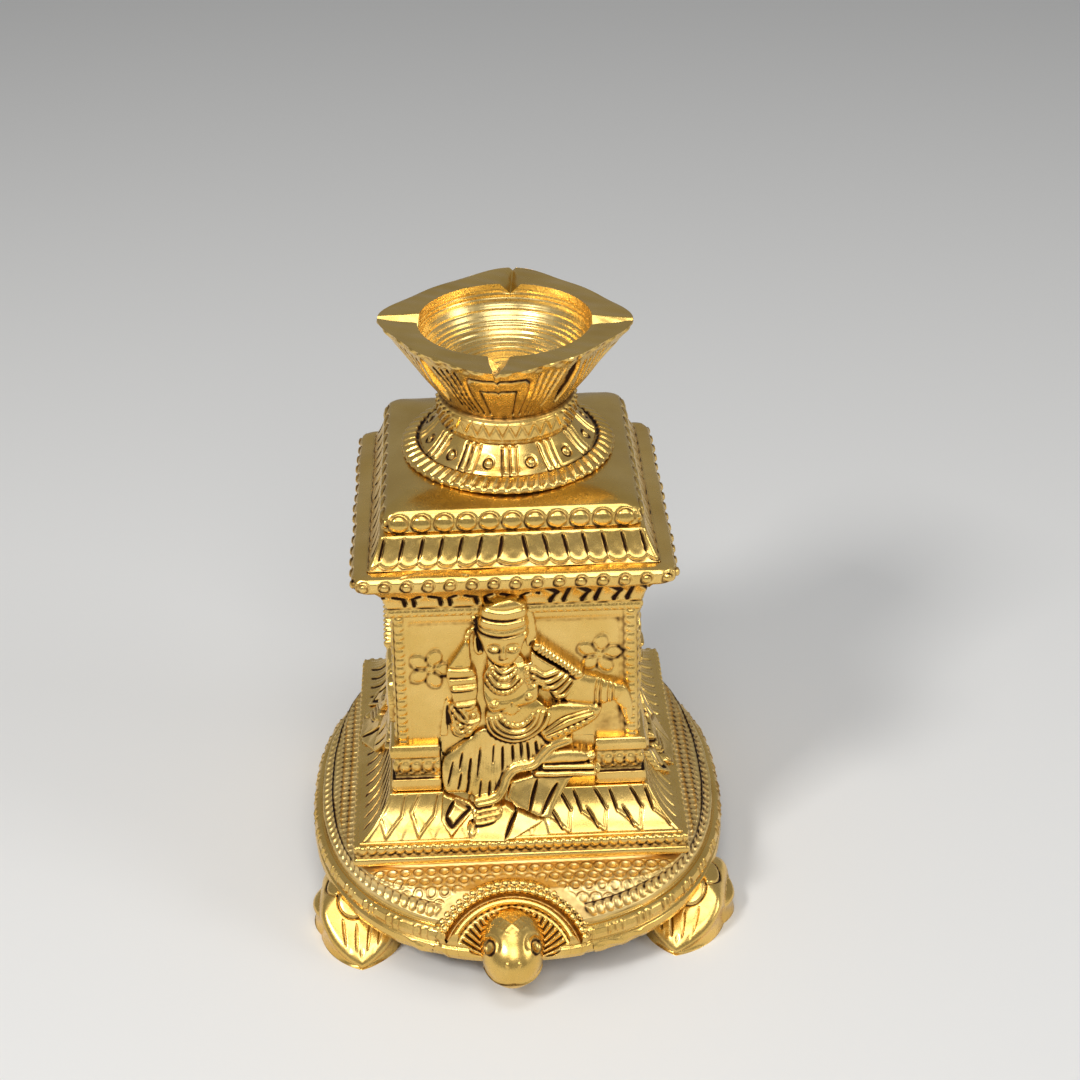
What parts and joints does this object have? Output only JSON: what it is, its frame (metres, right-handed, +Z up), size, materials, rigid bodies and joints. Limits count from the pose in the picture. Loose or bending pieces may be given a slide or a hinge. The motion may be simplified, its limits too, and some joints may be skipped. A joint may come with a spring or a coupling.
{
  "type": "tortoise oil lamp",
  "caption": "Brass oil lamp: a cup with four wick lips unscrews from a square carved pedestal that stands on the back of a tortoise.",
  "frame": {"origin": "on the floor under the pedestal's axis, at the middle of the lamp's outline", "axes": "+Z up, -Y towards the tortoise's head and the main figure, +X to the right of someone who faces that figure"},
  "size_m": [0.0898, 0.1148, 0.1266],
  "materials": {
    "chased_brass": "polished cast brass with a dark brown patina left in the carving",
    "polished_brass": "turned and polished brass, chased outside",
    "turned_brass": "turned brass with a cut thread",
    "fixings_steel": "plain steel"
  },
  "bodies": {
    "base": {"tortoise_shell": "chased_brass", "tortoise_head": "chased_brass", "tortoise_tail": "chased_brass", "front_left_foot": "chased_brass", "front_right_foot": "chased_brass", "rear_left_foot": "chased_brass", "rear_right_foot": "chased_brass", "plinth": "chased_brass", "die": "chased_brass", "figure_front": "chased_brass", "figure_right": "chased_brass", "figure_back": "chased_brass", "figure_left": "chased_brass", "cornice": "chased_brass", "gadroon_course": "chased_brass", "cap_slab": "polished_brass", "clamp_bolt": "fixings_steel", "bolt_washer": "fixings_steel"},
    "foot": {"lamp_foot": "polished_brass"},
    "lamp": {"lamp_stud": "turned_brass", "stud_clip": "fixings_steel", "neck_ring": "polished_brass", "oil_cup": "polished_brass"}
  },
  "joints": [
    {"name": "lamp_rise", "type": "slide", "parent": "base", "child": "foot", "axis": [0, 0, 1], "range_m": [0, 0.008]},
    {"name": "lamp_turn", "type": "hinge", "parent": "foot", "child": "lamp", "pos_m": [0, 0, 0.1], "axis": [0, 0, 1], "range_deg": [0, 2310]}
  ],
  "couplings": [
    {"joint": "lamp_turn", "follows": "lamp_rise", "rad_per_m": 5026.5}
  ]
}
